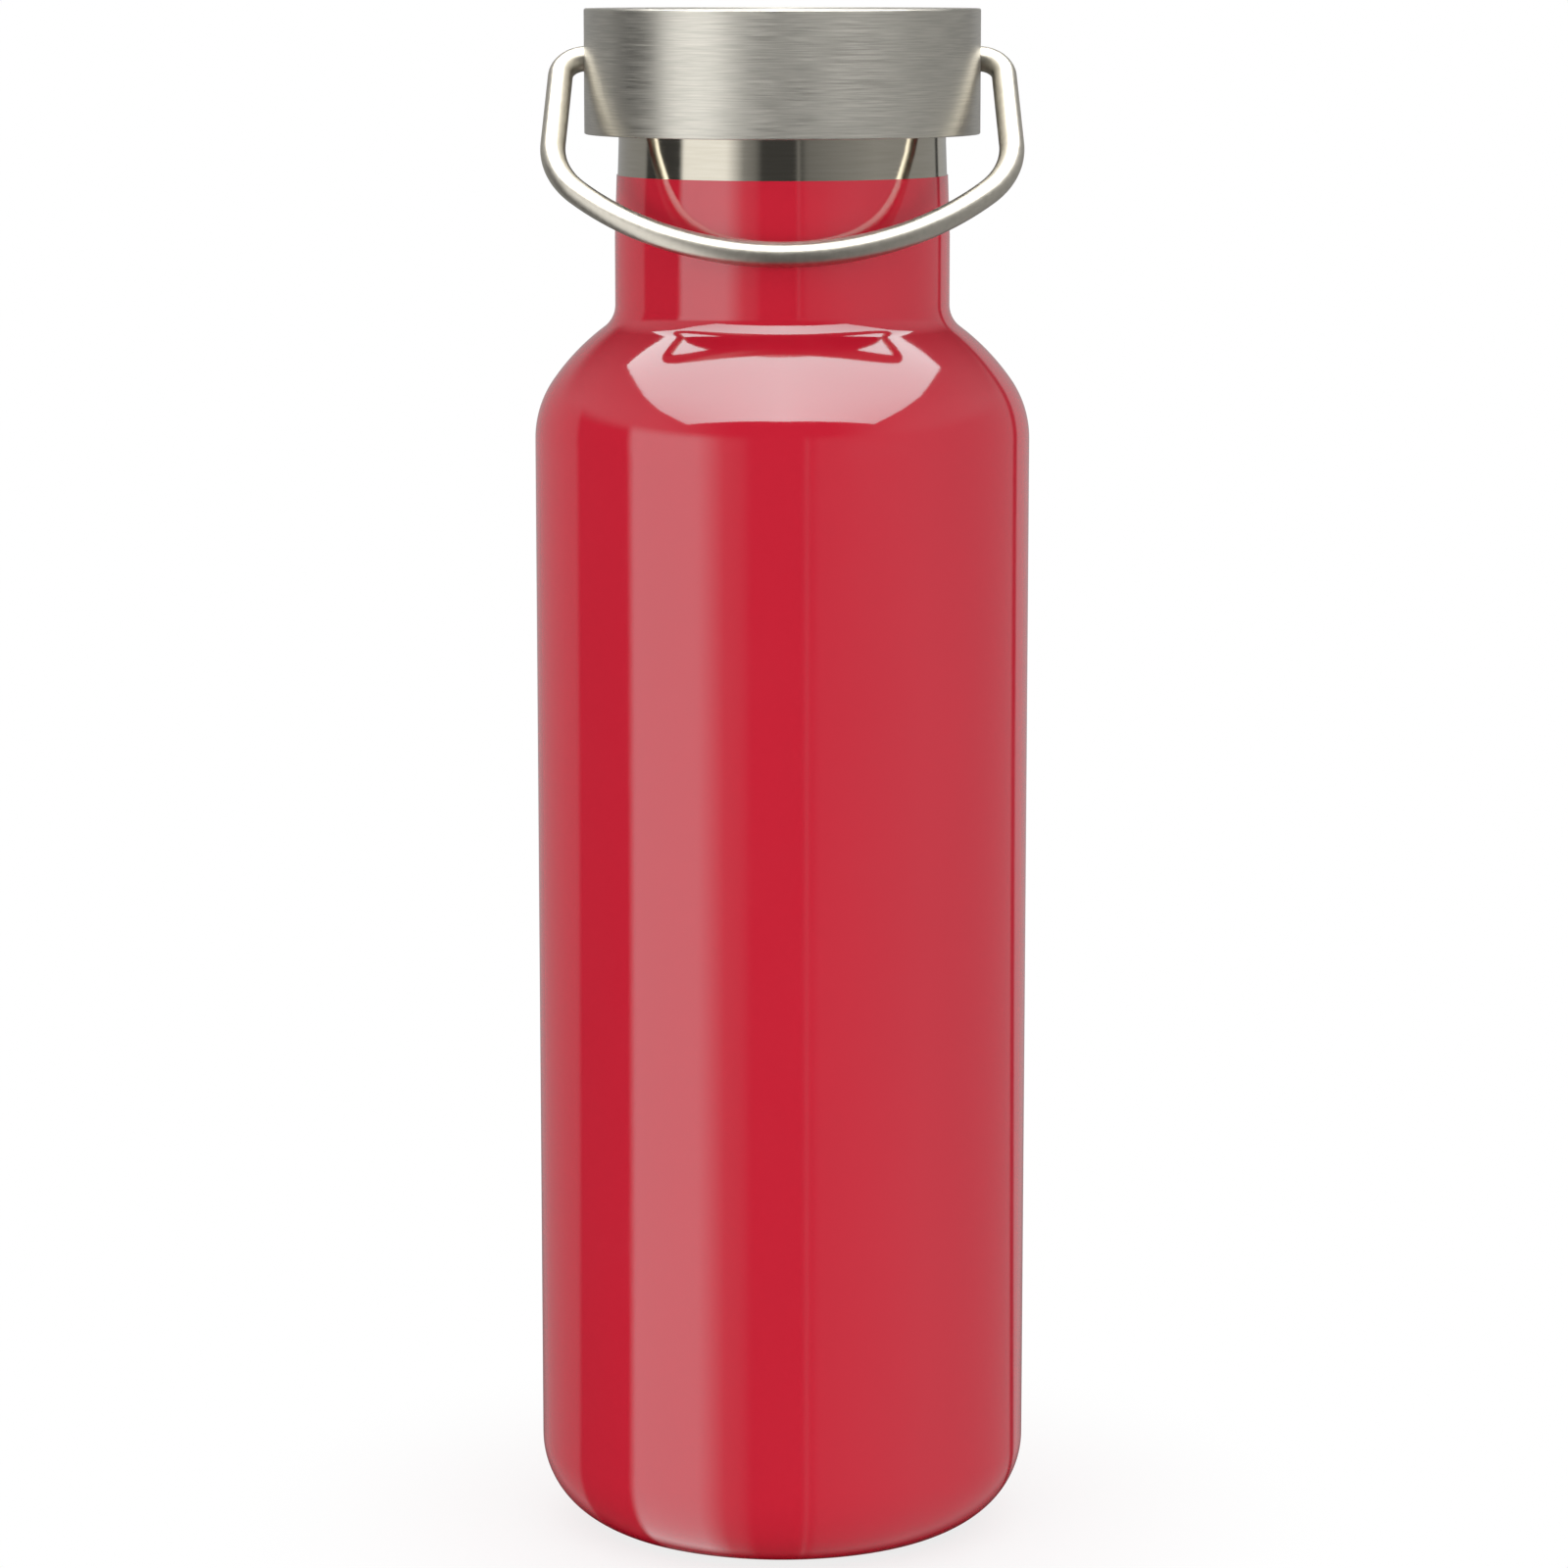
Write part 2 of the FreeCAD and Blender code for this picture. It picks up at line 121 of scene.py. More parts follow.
# Room that the gloss sees, as (radius, height) from its lowest point to its highest
ROOM_OUTLINE = [(0.0, -3.8), (2.4, -1.4), (2.4, 1.6), (0.0, 3.0)]
PANEL_TOP = (0.75, 1.20)        # the side panels fade into the ceiling between these heights
CEILING_LEVELS = (0.06, 0.55)   # ahead and behind, and at the sides
CEILING_ASIDE = (0.3, 0.9)      # how far to the side the one turns into the other
DARK_PATCH_WAY = (0.0, 0.8, -0.6)  # low behind the bottle, which the foot's edge sees at a glancing angle
DARK_PATCH_EDGE = (0.86, 0.97)  # cosines from that way, where the patch begins and where it is full
DARK_PATCH_LEVEL = 0.06
PATTERN_LEAN = 0.97             # keeps the panels' stripes upright down to the foot's rounded edge

# What the gloss sees round the bottle: degrees from the camera's side, + to the right, and brightness
PANEL_STOPS = [
    (-180, 0.40), (-113, 0.40), (-110, 0.07), (-77, 0.07), (-73, 1.6), (-40, 1.6), (-27, 0.40), (-19, 0.28),
    (-14, 0.08), (9.5, 0.08), (11.5, 0.40), (13, 0.10), (17, 0.26), (43, 0.36), (69, 0.45), (100, 0.42),
    (138, 0.42), (140, 0.06), (144, 0.06), (146, 0.55), (180, 0.40),
]
PANEL_PEAK = max(level for _, level in PANEL_STOPS)

# Overhead panel, seen in the shoulder
OVERHEAD_HEIGHT = 1.15
OVERHEAD_OUTLINE = [
    (-0.92, 0.66), (-0.97, 0.10), (-1.20, -0.45), (-1.34, -1.18), (0.0, -1.31),
    (1.27, -1.18), (1.14, -0.45), (0.98, 0.10), (0.95, 0.66),
]
OVERHEAD_STRENGTHS = (5.8, 4.0)  # in the middle, and at the sides

# Floor
FLOOR_HALF = 6.0
FLOOR_HEIGHT = -0.0001          # just clear of the foot ring
FLOOR_SHADOW = (0.036, 0.085)   # radii between which the floor's shading fades to white
FLOOR_GLOW_NEAR = 0.78

# Light from all round, and lamps by name, place and power in watts
AMBIENT_LEVELS = (0.38, 1.2)    # from the sides and below, and from straight above
LAMP_SIZE = (0.9, 0.5)
LAMP_TARGET = (0, 0, CAP_TOP / 2)
LAMPS = [
    ("left_key", (-1.1, -1.3, 0.3), 7.2),
    ("right_fill", (1.2, -1.2, 0.3), 5.8),
    ("back_fill", (0.2, 1.7, 0.4), 6.0),
]


# Outlines

def arc_points(centre, radius, start, end):
    """Points of an arc, as (radius, height), both ends included."""
    count = max(2, math.ceil(abs(end - start) / ARC_STEP))
    angles = [start + (end - start) * i / count for i in range(count + 1)]
    return [(centre[0] + radius * math.cos(a), centre[1] + radius * math.sin(a)) for a in angles]


def straight_points(start, end):
    """A straight stretch with an extra point close to each end, which keeps its shading straight."""
    length = math.dist(start, end)
    if length < 4 * SUPPORT:
        return [start, end]
    shares = (0, SUPPORT / length, 0.5, 1 - SUPPORT / length, 1)
    return [tuple(a + (b - a) * share for a, b in zip(start, end)) for share in shares]


def joined(*stretches):
    """One list of points, with the doubled ends of neighbouring stretches left out."""
    points = []
    for stretch in stretches:
        for p in stretch:
            if not points or math.dist(points[-1], p) > SAME_POINT:
                points.append(p)
    return points


def side_outline(depth):
    """The bottle's side from the foot ring to the top of the shell, at a depth below the metal."""
    lower = Vector((METAL_RADIUS - SHOULDER_RADIUS, BODY_STRAIGHT_TOP))
    turn_way = Vector((math.cos(SHOULDER_TURN), math.sin(SHOULDER_TURN)))
    upper = lower - (SHOULDER_TOP_RADIUS - SHOULDER_RADIUS) * turn_way
    fillet_r = NECK_RADIUS + NECK_FILLET_RADIUS
    rise = math.sqrt((SHOULDER_TOP_RADIUS + NECK_FILLET_RADIUS) ** 2 - (fillet_r - upper.x) ** 2)
    neck_start = upper.y + rise
    taper_bottom = neck_start + NECK_STRAIGHT_LENGTH
    taper_top = taper_bottom + NECK_TAPER_LENGTH
    meet = math.atan2(rise, fillet_r - upper.x)
    foot_r = METAL_RADIUS - FOOT_EDGE_RADIUS
    side = METAL_RADIUS - depth
    neck = NECK_RADIUS - depth
    neck_top = NECK_TOP_RADIUS - depth
    return joined(
        straight_points((foot_r - FOOT_RING_WIDTH, depth), (foot_r, depth)),
        arc_points((foot_r, FOOT_EDGE_RADIUS), FOOT_EDGE_RADIUS - depth, -math.pi / 2, 0),
        straight_points((side, FOOT_EDGE_RADIUS), (side, BODY_STRAIGHT_TOP)),
        arc_points(lower, SHOULDER_RADIUS - depth, 0, SHOULDER_TURN),
        arc_points(upper, SHOULDER_TOP_RADIUS - depth, SHOULDER_TURN, meet),
        arc_points((fillet_r, neck_start), NECK_FILLET_RADIUS + depth, meet + math.pi, math.pi),
        straight_points((neck, neck_start), (neck, taper_bottom)),
        straight_points((neck, taper_bottom), (neck_top, taper_top)),
        straight_points((neck_top, taper_top), (neck_top, SHELL_TOP)),
    )


def between_heights(points, bottom, top):
    """The part of an outline between two heights, cut exactly there."""
    kept = []
    for a, b in zip(points, points[1:]):
        cuts = [a]
        for level in sorted((bottom, top), reverse=a[1] > b[1]):
            if min(a[1], b[1]) < level < max(a[1], b[1]):
                share = (level - a[1]) / (b[1] - a[1])
                cuts.append((a[0] + (b[0] - a[0]) * share, level))
        kept += [p for p in cuts + [b] if bottom - LEVEL_SLACK <= p[1] <= top + LEVEL_SLACK]
    return joined(kept)


# Meshes

def shade_smooth(mesh):
    """Smooth shading, but for edges as sharp as the real ones."""
    mesh.polygons.foreach_set("use_smooth", [True] * len(mesh.polygons))
    mesh.set_sharp_from_angle(angle=SHARP_ANGLE)


def mesh_object(name, vertices, faces):
    mesh = bpy.data.meshes.new(name)
    mesh.from_pydata(vertices, [], faces)
    mesh.validate()
    shade_smooth(mesh)
    piece = bpy.data.objects.new(name, mesh)
    bpy.context.collection.objects.link(piece)
    return piece


def turned(name, outline):
    """A turned piece from an outline of (radius, height) points, given anticlockwise.

    The outline is closed, or starts and ends on the axis."""
    vertices = []
    rows = []
    for r, z in outline:
        first = len(vertices)
        if r < SAME_POINT:
            vertices.append((0, 0, z))
            rows.append([first] * TURN_SEGMENTS)
            continue
        for i in range(TURN_SEGMENTS):
            a = 2 * math.pi * i / TURN_SEGMENTS
            vertices.append((r * math.cos(a), r * math.sin(a), z))
        rows.append(list(range(first, first + TURN_SEGMENTS)))
    faces = []
    for low, high in zip(rows, rows[1:] + rows[:1]):
        for i in range(TURN_SEGMENTS):
            j = (i + 1) % TURN_SEGMENTS
            corners = list(dict.fromkeys([low[i], low[j], high[j], high[i]]))
            if len(corners) > 2:
                faces.append(corners)
    return mesh_object(name, vertices, faces)


def bored(piece, height, radius):
    """The piece with a cross bore along X, as wide as the bail's holes."""
    bpy.ops.mesh.primitive_cylinder_add(
        vertices=WIRE_SIDES, radius=radius, depth=4 * CAP_RADIUS,
        location=(0, 0, height), rotation=(0, math.pi / 2, 0),
    )
    drill = bpy.context.object
    cut = piece.modifiers.new("bore", "BOOLEAN")
    cut.operation = "DIFFERENCE"
    cut.solver = "EXACT"
    cut.object = drill
    mesh = bpy.data.meshes.new_from_object(piece.evaluated_get(bpy.context.evaluated_depsgraph_get()))
    piece.modifiers.clear()
    piece.data = mesh
    shade_smooth(mesh)
    bpy.data.objects.remove(drill)
    return piece


def make_coat():
    """The red lacquer, from just above the foot to the paint line on the neck."""
    outer = between_heights(side_outline(-COAT_THICKNESS), COAT_BOTTOM, COAT_TOP)
    inner = between_heights(side_outline(0), COAT_BOTTOM, COAT_TOP)
    return turned("red_lacquer", outer + inner[::-1])


def make_shell():
    """The steel shell, with its lower edge turned up inside the foot ring."""
    outer = side_outline(0)
    inner = side_outline(SHELL_WALL)
    lip_r = outer[0][0]
    lip = [(lip_r + SHELL_WALL, SHELL_WALL), (lip_r + SHELL_WALL, FOOT_LIP_HEIGHT), (lip_r, FOOT_LIP_HEIGHT)]
    above_lip = [p for p in inner if p[0] > lip_r + SHELL_WALL or p[1] > FOOT_LIP_HEIGHT]
    return turned("steel_shell", outer + above_lip[::-1] + lip)


def make_cap():
    """The brushed steel cap: a cup with a rounded top edge and a finely rounded rim."""
    inner = CAP_RADIUS - CAP_WALL
    top_inside = CAP_TOP - CAP_WALL
    corner = (CAP_RADIUS - CAP_EDGE_RADIUS, CAP_TOP - CAP_EDGE_RADIUS)
    rim_high = CAP_BOTTOM + CAP_RIM_ROUNDING
    quarter = math.pi / 2
    outline = joined(
        straight_points((inner, top_inside), (inner, rim_high)),
        arc_points((inner + CAP_RIM_ROUNDING, rim_high), CAP_RIM_ROUNDING, 2 * quarter, 3 * quarter),
        arc_points((CAP_RADIUS - CAP_RIM_ROUNDING, rim_high), CAP_RIM_ROUNDING, -quarter, 0),
        straight_points((CAP_RADIUS, rim_high), (CAP_RADIUS, corner[1])),
        arc_points(corner, CAP_EDGE_RADIUS, 0, quarter),
        straight_points((corner[0], CAP_TOP), (0, CAP_TOP)),
        [(0, top_inside)],
    )
    return bored(turned("steel_cap", outline), PIVOT_HEIGHT, CAP_HOLE_RADIUS)


def bail_line():
    """The bail's centreline in its own plane, as (x, distance from the pivot axis)."""
    along = Vector((math.sin(LEG_SPLAY), math.cos(LEG_SPLAY)))
    inward = Vector((-math.cos(LEG_SPLAY), math.sin(LEG_SPLAY)))
    outward_angle = math.atan2(-inward.y, -inward.x)
    leg = Vector((LEG_X, 0))
    bend_shift = (STUB_BEND_RADIUS - STUB_BEND_RADIUS * inward.y) / along.y
    bend = leg + bend_shift * along + STUB_BEND_RADIUS * inward
    grip = Vector((0, BAIL_REACH - GRIP_RADIUS))
    start = leg + CORNER_RADIUS * inward
    offset = start - grip
    half_b = offset.dot(along)
    rest_c = offset.length_squared - (GRIP_RADIUS - CORNER_RADIUS) ** 2
    corner = start + (math.sqrt(half_b ** 2 - rest_c) - half_b) * along
    grip_angle = math.atan2(corner.y - grip.y, corner.x - grip.x)
    half = joined(
        [(STUB_END, 0)],
        arc_points(bend, STUB_BEND_RADIUS, -math.pi / 2, outward_angle),
        arc_points(corner, CORNER_RADIUS, outward_angle, grip_angle),
        arc_points(grip, GRIP_RADIUS, grip_angle, math.pi / 2),
    )
    return half + [(-x, s) for x, s in reversed(half[:-1])]


def make_bail():
    """The bent wire, leaning on the front of the neck."""
    rest = (NECK_RADIUS + COAT_THICKNESS + WIRE_RADIUS + BAIL_REST_GAP) / BAIL_REACH
    tilt = math.asin(rest)
    reach_way = Vector((0, -math.sin(tilt), -math.cos(tilt)))
    across = Vector((1, 0, 0)).cross(reach_way)
    pivot = Vector((0, 0, PIVOT_HEIGHT))
    line = [pivot + Vector((x, 0, 0)) + s * reach_way for x, s in bail_line()]
    vertices = []
    for i, p in enumerate(line):
        ahead = (line[min(i + 1, len(line) - 1)] - line[max(i - 1, 0)]).normalized()
        beside = across.cross(ahead)
        for k in range(WIRE_SIDES):
            a = 2 * math.pi * k / WIRE_SIDES
            vertices.append(p + WIRE_RADIUS * (math.cos(a) * beside + math.sin(a) * across))
    faces = []
    for i in range(len(line) - 1):
        low, high = i * WIRE_SIDES, (i + 1) * WIRE_SIDES
        for k in range(WIRE_SIDES):
            k2 = (k + 1) % WIRE_SIDES
            faces.append((low + k, low + k2, high + k2, high + k))
    last = (len(line) - 1) * WIRE_SIDES
    faces.append(list(range(WIRE_SIDES))[::-1])
    faces.append(list(range(last, last + WIRE_SIDES)))
    return mesh_object("wire_bail", vertices, faces)


# Shader nodes

def feed(tree, socket, value):
    """Link an input to another node's output, or set it to a plain value."""
    if isinstance(value, bpy.types.NodeSocket):
        tree.links.new(value, socket)
    else:
        socket.default_value = value


def calculated(tree, operation, *values):
    """The result of a Math node."""
    node = tree.nodes.new("ShaderNodeMath")
    node.operation = operation
    for socket, value in zip(node.inputs, values):
        feed(tree, socket, value)
    return node.outputs["Value"]


def vector_calculated(tree, operation, *values):
    """The result of a Vector Math node: a number for a length or a dot product, and else a vector."""
    node = tree.nodes.new("ShaderNodeVectorMath")
    node.operation = operation
    for socket, value in zip(node.inputs, values):
        feed(tree, socket, value)
    return node.outputs["Value" if operation in ("LENGTH", "DOT_PRODUCT") else "Vector"]


def axis_values(tree, vector):
    """A vector's numbers, as outputs named X, Y and Z."""
    node = tree.nodes.new("ShaderNodeSeparateXYZ")
    tree.links.new(vector, node.inputs["Vector"])
    return node.outputs


def carried_over(tree, value, source, target, smooth=False):
    """A value carried over from one range to another, and held at its ends."""
    node = tree.nodes.new("ShaderNodeMapRange")
    if smooth:
        node.interpolation_type = "SMOOTHSTEP"
    for name, end in zip(("From Min", "From Max", "To Min", "To Max"), (*source, *target)):
        feed(tree, node.inputs[name], end)
    tree.links.new(value, node.inputs["Value"])
    return node.outputs["Result"]


def own_place(tree):
    """A point's place in its piece's own space."""
    return tree.nodes.new("ShaderNodeTexCoord").outputs["Object"]


def noise_at(tree, place, scale, detail, shift=0.0):
    """Noise with its own scale along each axis."""
    mapping = tree.nodes.new("ShaderNodeMapping")
    mapping.inputs["Scale"].default_value = scale
    mapping.inputs["Location"].default_value = (shift, shift, shift)
    noise = tree.nodes.new("ShaderNodeTexNoise")
    noise.inputs["Scale"].default_value = 1.0
    noise.inputs["Detail"].default_value = detail
    tree.links.new(place, mapping.inputs["Vector"])
    tree.links.new(mapping.outputs["Vector"], noise.inputs["Vector"])
    return noise.outputs["Fac"]


def even_noise(tree, scale, detail, shift=0.0):
    """Noise that is alike in all directions, in features a metre."""
    return noise_at(tree, own_place(tree), (scale, scale, scale), detail, shift)


def turned_noise(tree, around, along, detail):
    """Noise drawn out round the bottle's axis, in rings on flat ends and in level lines on sides.

    around is in features a radian, along in features a metre."""
    place = own_place(tree)
    flat = vector_calculated(tree, "MULTIPLY", place, (1, 1, 0))
    heading = vector_calculated(tree, "NORMALIZE", flat)
    radius = vector_calculated(tree, "LENGTH", flat)
    reach = calculated(tree, "ADD", radius, axis_values(tree, place)["Z"])
    rise = tree.nodes.new("ShaderNodeCombineXYZ")
    tree.links.new(reach, rise.inputs["Z"])
    drawn_out = vector_calculated(tree, "ADD", heading, rise.outputs["Vector"])
    return noise_at(tree, drawn_out, (around, around, along), detail)


def two_colours(tree, value, low, high):
    """A noise value spread from one colour to another."""
    ramp = tree.nodes.new("ShaderNodeValToRGB")
    for stop, position, colour in zip(ramp.color_ramp.elements, NOISE_RANGE, (low, high)):
        stop.position = position
        stop.color = (*colour, 1)
    tree.links.new(value, ramp.inputs["Fac"])
    return ramp.outputs["Color"]


def mixed_shaders(tree, share, first, second):
    """Two shaders mixed, by the second one's share."""
    mix = tree.nodes.new("ShaderNodeMixShader")
    for socket, source in zip(mix.inputs, (share, first, second)):
        tree.links.new(source, socket)
    return mix.outputs["Shader"]


def add_bump(tree, shader, value, strength, height):
    bump = tree.nodes.new("ShaderNodeBump")
    bump.inputs["Strength"].default_value = strength
    bump.inputs["Distance"].default_value = height
    tree.links.new(value, bump.inputs["Height"])
    tree.links.new(bump.outputs["Normal"], shader.inputs["Normal"])


def add_brushing_direction(tree, shader, amount):
    """Anisotropy that follows the circles round the bottle's axis."""
    tangent = tree.nodes.new("ShaderNodeTangent")
    tangent.direction_type = "RADIAL"
    tangent.axis = "Z"
    tree.links.new(tangent.outputs["Tangent"], shader.inputs["Tangent"])
    shader.inputs["Anisotropic"].default_value = amount
    shader.inputs["Anisotropic Rotation"].default_value = BRUSHING_TURN


# Materials

def new_material(name):
    material = bpy.data.materials.new(name)
    material.use_nodes = True
    return material, material.node_tree, material.node_tree.nodes["Principled BSDF"]


def red_lacquer():
    """Gloss lacquer with a faint orange peel."""
    material, tree, shader = new_material("red_lacquer")
    tone = noise_at(tree, own_place(tree), (22, 22, 9), 3)
    shade = two_colours(tree, tone, (0.51, 0.0100, 0.0280), (0.55, 0.0115, 0.0310))
    tree.links.new(shade, shader.inputs["Base Color"])
    gloss = carried_over(tree, even_noise(tree, 120, 5, 3.1), NOISE_RANGE, (0.05, 0.085))
    tree.links.new(gloss, shader.inputs["Roughness"])
    peel = noise_at(tree, own_place(tree), (700, 700, 500), 2, 7.7)
    add_bump(tree, shader, peel, 0.16, LACQUER_RELIEF)
    shader.inputs["IOR"].default_value = 1.75
    shader.inputs["Specular Tint"].default_value = (0.5, 1.0, 1.0, 1.0)
    return material


def steel(name, dark, light, roughness, lines, bump, anisotropy=0.0):
    """Stainless steel, its tone, gloss and relief all following one noise made by lines(tree)."""
    material, tree, shader = new_material(name)
    shader.inputs["Metallic"].default_value = 1.0
    streaks = lines(tree)
    tree.links.new(two_colours(tree, streaks, dark, light), shader.inputs["Base Color"])
    tree.links.new(carried_over(tree, streaks, NOISE_RANGE, roughness), shader.inputs["Roughness"])
    add_bump(tree, shader, streaks, bump, STEEL_RELIEF)
    if anisotropy:
        add_brushing_direction(tree, shader, anisotropy)
    return material


def moulded(name, dark, light, roughness, grain, bump):
    """Moulded plastic, foam or silicone with an even grain."""
    material, tree, shader = new_material(name)
    speckle = even_noise(tree, grain, 4)
    tree.links.new(two_colours(tree, speckle, dark, light), shader.inputs["Base Color"])
    tree.links.new(carried_over(tree, speckle, NOISE_RANGE, roughness), shader.inputs["Roughness"])
    add_bump(tree, shader, speckle, bump, MOULDED_RELIEF)
    return material


lacquer = red_lacquer()
polished = steel(
    "polished_steel", dark=(0.46, 0.43, 0.36), light=(0.50, 0.47, 0.40), roughness=(0.07, 0.11),
    lines=lambda tree: turned_noise(tree, 3, 2500, 4), bump=0.08,
)
brushed = steel(
    "brushed_steel", dark=(0.40, 0.386, 0.345), light=(0.56, 0.54, 0.485), roughness=(0.37, 0.47),
    lines=lambda tree: turned_noise(tree, 5, 6500, 6), bump=0.25, anisotropy=0.6,
)
satin = steel(
    "satin_wire", dark=(0.48, 0.453, 0.39), light=(0.54, 0.51, 0.445), roughness=(0.33, 0.38),
    lines=lambda tree: even_noise(tree, 1100, 3), bump=0.02,
)
drawn = steel(
    "drawn_liner_steel", dark=(0.50, 0.49, 0.47), light=(0.62, 0.61, 0.59), roughness=(0.22, 0.34),
    lines=lambda tree: turned_noise(tree, 3, 3000, 5), bump=0.2,
)
spun = steel(
    "spun_base_steel", dark=(0.44, 0.43, 0.41), light=(0.60, 0.59, 0.56), roughness=(0.25, 0.38),
    lines=lambda tree: turned_noise(tree, 5, 5000, 5), bump=0.2, anisotropy=0.5,
)
solder = steel(
    "solder", dark=(0.42, 0.42, 0.42), light=(0.55, 0.55, 0.54), roughness=(0.3, 0.5),
    lines=lambda tree: even_noise(tree, 1500, 6), bump=0.4,
)
pellet = moulded(
    "getter_pellet", dark=(0.05, 0.05, 0.05), light=(0.12, 0.12, 0.12), roughness=(0.6, 0.8),
    grain=2500, bump=0.5,
)
black = moulded(
    "black_polypropylene", dark=(0.012, 0.012, 0.013), light=(0.022, 0.022, 0.023), roughness=(0.38, 0.5),
    grain=1200, bump=0.2,
)
foam = moulded(
    "expanded_foam", dark=(0.72, 0.72, 0.71), light=(0.88, 0.88, 0.87), roughness=(0.8, 0.95),
    grain=500, bump=0.6,
)
silicone = moulded(
    "white_silicone", dark=(0.70, 0.70, 0.68), light=(0.78, 0.78, 0.76), roughness=(0.35, 0.45),
    grain=900, bump=0.1,
)

# Pieces that stand for CAD nodes: maker, node, body, slot, material
SHOWN = [
    (make_coat, "red_coat", "bottle", "red_coat", lacquer),
    (make_shell, "outer_shell", "bottle", "polished_steel", polished),
    (make_cap, "cap_shell", "cap", "brushed_steel", brushed),
    (make_bail, "bail_handle", "bail", "satin_steel", satin),
]
for make, node, body, slot, material in SHOWN:
    piece = make()
    piece.data.materials.clear()
    piece.data.materials.append(material)
    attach(piece, body)
    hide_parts(node)

# CAD nodes that are shown as they are
KEPT = {
    "inner_liner": drawn,
    "liner_base": drawn,
    "base_dish": drawn,
    "getter_clip": drawn,
    "base_cover": spun,
    "vacuum_seal": solder,
    "getter": pellet,
    "cap_insert": black,
    "plug_cover": black,
    "plug_foam": foam,
    "sealing_gasket": silicone,
}
for node, material in KEPT.items():
    for material_slot in frame["nodes"][node].material_slots:
        material_slot.material = material


# Studio

def only_in_gloss(piece):
    """A studio panel that shows in reflections alone."""
    piece.visible_camera = False
    piece.visible_diffuse = False
    piece.visible_transmission = False
    piece.visible_volume_scatter = False
    piece.visible_shadow = False


def emission_material(name):
    material = bpy.data.materials.new(name)
    material.use_nodes = True
    tree = material.node_tree
    tree.nodes.remove(tree.nodes["Principled BSDF"])
    light = tree.nodes.new("ShaderNodeEmission")
    tree.links.new(light.outputs["Emission"], tree.nodes["Material Output"].inputs["Surface"])
    return material, tree, light


def panel_levels(tree, heading):
    """Brightness of the panels round the bottle, as shares of the brightest."""
    ramp = tree.nodes.new("ShaderNodeValToRGB")
    stops = ramp.color_ramp.elements
    while len(stops) < len(PANEL_STOPS):
        stops.new(1.0)
    for stop, (degrees, level) in zip(stops, PANEL_STOPS):
        share = level / PANEL_PEAK
        stop.position = (degrees + 180) / 360
        stop.color = (share, share, share, 1)
    axes = axis_values(tree, heading)
    ahead = calculated(tree, "SUBTRACT", PATTERN_LEAN, axes["Y"])
    half_turn = calculated(tree, "ARCTAN2", axes["X"], ahead)
    place = carried_over(tree, half_turn, (-math.pi / 2, math.pi / 2), (0, 1))
    tree.links.new(place, ramp.inputs["Fac"])
    return ramp.outputs["Color"]


def make_room():
    """Panels round the bottle, bright and dark by turns, under a dark ceiling."""
    room = turned("studio_room", ROOM_OUTLINE)
    material, tree, light = emission_material("studio_room")
    place = own_place(tree)
    heading = vector_calculated(tree, "NORMALIZE", place)
    height = axis_values(tree, place)["Z"]
    aside = calculated(tree, "ABSOLUTE", axis_values(tree, heading)["X"])
    ceiling_shares = [level / PANEL_PEAK for level in CEILING_LEVELS]
    level = tree.nodes.new("ShaderNodeMix")
    level.data_type = "RGBA"
    feed(tree, level.inputs["Factor"], carried_over(tree, height, PANEL_TOP, (0, 1), smooth=True))
    feed(tree, level.inputs["A"], panel_levels(tree, heading))
    feed(tree, level.inputs["B"], carried_over(tree, aside, CEILING_ASIDE, ceiling_shares, smooth=True))
    tree.links.new(level.outputs["Result"], light.inputs["Color"])
    behind = vector_calculated(tree, "DOT_PRODUCT", heading, DARK_PATCH_WAY)
    strengths = (PANEL_PEAK, DARK_PATCH_LEVEL * PANEL_PEAK)
    tree.links.new(carried_over(tree, behind, DARK_PATCH_EDGE, strengths), light.inputs["Strength"])
    room.data.materials.append(material)
    only_in_gloss(room)


def make_overhead():
    """A large overhead panel, brightest along its middle."""
    corners = [(x, y, OVERHEAD_HEIGHT) for x, y in OVERHEAD_OUTLINE]
    panel = mesh_object("overhead_panel", corners, [range(len(corners))])
    material, tree, light = emission_material("overhead_panel")
    aside = calculated(tree, "ABSOLUTE", axis_values(tree, own_place(tree))["X"])
    widest = max(x for x, _ in OVERHEAD_OUTLINE)
    strength = carried_over(tree, aside, (0, widest), OVERHEAD_STRENGTHS)
    tree.links.new(strength, light.inputs["Strength"])
    panel.data.materials.append(material)
    only_in_gloss(panel)


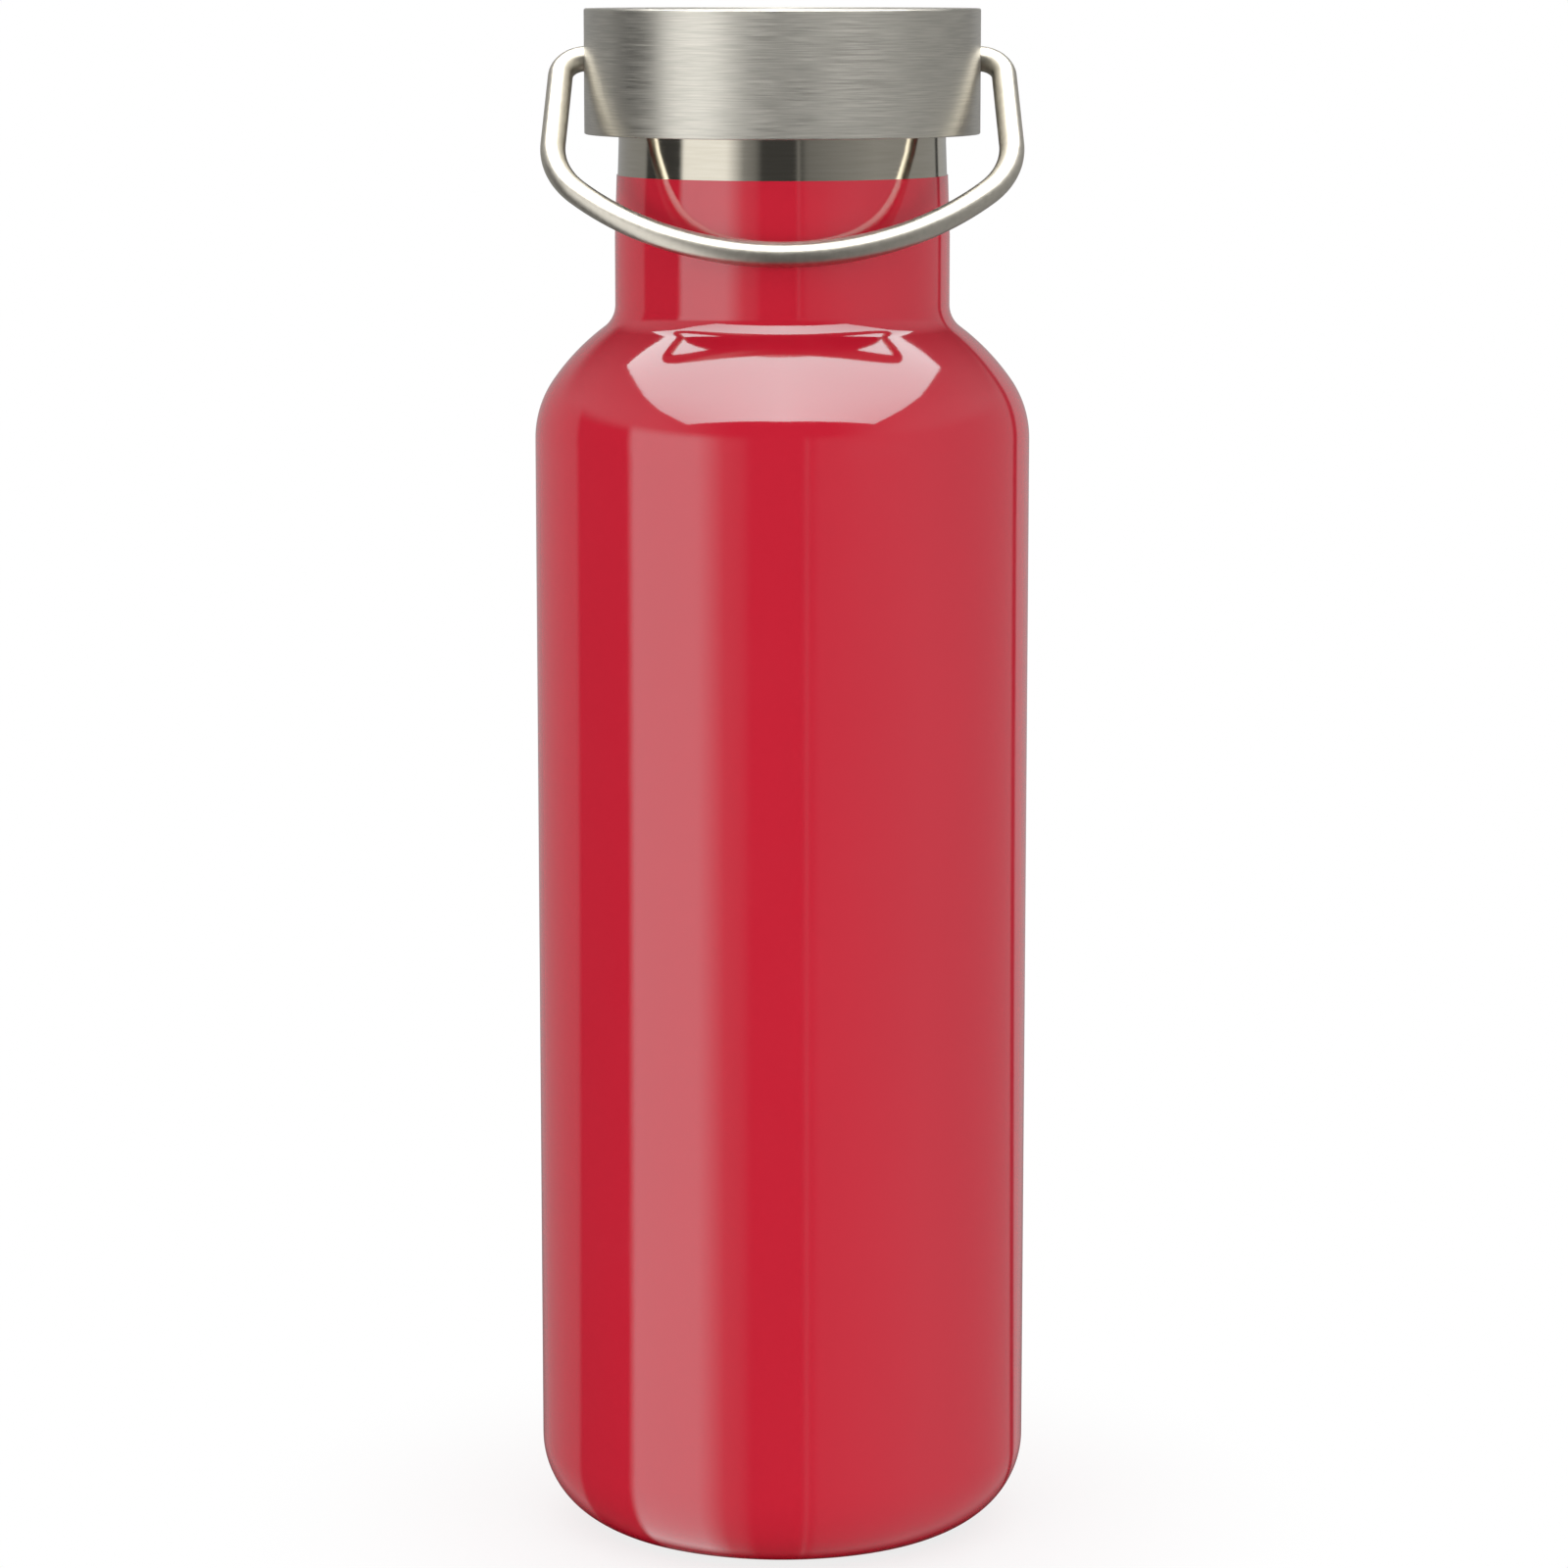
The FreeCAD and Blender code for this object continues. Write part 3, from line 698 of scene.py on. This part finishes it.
def make_floor():
    """A pale floor, nearly white to the camera, that keeps the bottle's shadow and is clear from below."""
    signs = [(-1, -1), (1, -1), (1, 1), (-1, 1)]
    corners = [(x * FLOOR_HALF, y * FLOOR_HALF, FLOOR_HEIGHT) for x, y in signs]
    floor = mesh_object("floor", corners, [(0, 1, 2, 3)])
    material, tree, shader = new_material("pale_floor")
    shader.inputs["Roughness"].default_value = 0.9
    shader.inputs["Specular IOR Level"].default_value = 0.0
    shade = two_colours(tree, even_noise(tree, 3, 2), (0.90, 0.90, 0.90), (0.92, 0.92, 0.92))
    tree.links.new(shade, shader.inputs["Base Color"])
    away = vector_calculated(tree, "LENGTH", own_place(tree))
    whitening = carried_over(tree, away, FLOOR_SHADOW, (FLOOR_GLOW_NEAR, 1.0), smooth=True)
    seen = tree.nodes.new("ShaderNodeLightPath").outputs["Is Camera Ray"]
    glow = tree.nodes.new("ShaderNodeEmission").outputs["Emission"]
    glow_share = calculated(tree, "MULTIPLY", seen, whitening)
    whitened = mixed_shaders(tree, glow_share, shader.outputs["BSDF"], glow)
    below = tree.nodes.new("ShaderNodeNewGeometry").outputs["Backfacing"]
    clear = tree.nodes.new("ShaderNodeBsdfTransparent").outputs["BSDF"]
    surface = mixed_shaders(tree, below, whitened, clear)
    tree.links.new(surface, tree.nodes["Material Output"].inputs["Surface"])
    floor.data.materials.append(material)
    floor.visible_glossy = False


def make_lamp(name, place, power):
    """A soft area lamp, which leaves glossy reflections to the panels."""
    lamp = bpy.data.lights.new(name, "AREA")
    lamp.shape = "RECTANGLE"
    lamp.size, lamp.size_y = LAMP_SIZE
    lamp.energy = power
    holder = bpy.data.objects.new(name, lamp)
    holder.location = place
    aim = Vector(LAMP_TARGET) - Vector(place)
    holder.rotation_euler = aim.to_track_quat("-Z", "Y").to_euler()
    holder.visible_camera = False
    holder.visible_glossy = False
    bpy.context.collection.objects.link(holder)


def make_world():
    """White to the camera and to reflections, and otherwise an ambient light that is strongest from above."""
    world = bpy.data.worlds.new("studio")
    bpy.context.scene.world = world
    world.use_nodes = True
    tree = world.node_tree
    background = tree.nodes["Background"]
    background.inputs["Color"].default_value = (1, 1, 1, 1)
    way = tree.nodes.new("ShaderNodeTexCoord").outputs["Generated"]
    ambient = carried_over(tree, axis_values(tree, way)["Z"], (0, 1), AMBIENT_LEVELS)
    rays = tree.nodes.new("ShaderNodeLightPath").outputs
    seen = calculated(tree, "MAXIMUM", rays["Is Camera Ray"], rays["Is Glossy Ray"])
    seen = calculated(tree, "MAXIMUM", seen, rays["Is Transmission Ray"])
    tree.links.new(carried_over(tree, seen, (0, 1), (ambient, 1.0)), background.inputs["Strength"])


def make_camera():
    lens = bpy.data.cameras.new("camera")
    lens.sensor_width = SENSOR_MM
    lens.lens = SENSOR_MM * FOCAL_PIXELS / IMAGE_PIXELS
    lens.shift_x = (IMAGE_PIXELS / 2 - CENTRE_PIXEL) / IMAGE_PIXELS
    camera = bpy.data.objects.new("camera", lens)
    camera.location = CAMERA_PLACE
    camera.rotation_euler = (math.pi / 2 - CAMERA_PITCH, 0, 0)
    bpy.context.collection.objects.link(camera)
    bpy.context.scene.camera = camera


make_room()
make_overhead()
make_floor()
for name, place, power in LAMPS:
    make_lamp(name, place, power)
make_world()
make_camera()
bpy.context.scene.view_settings.view_transform = "Standard"
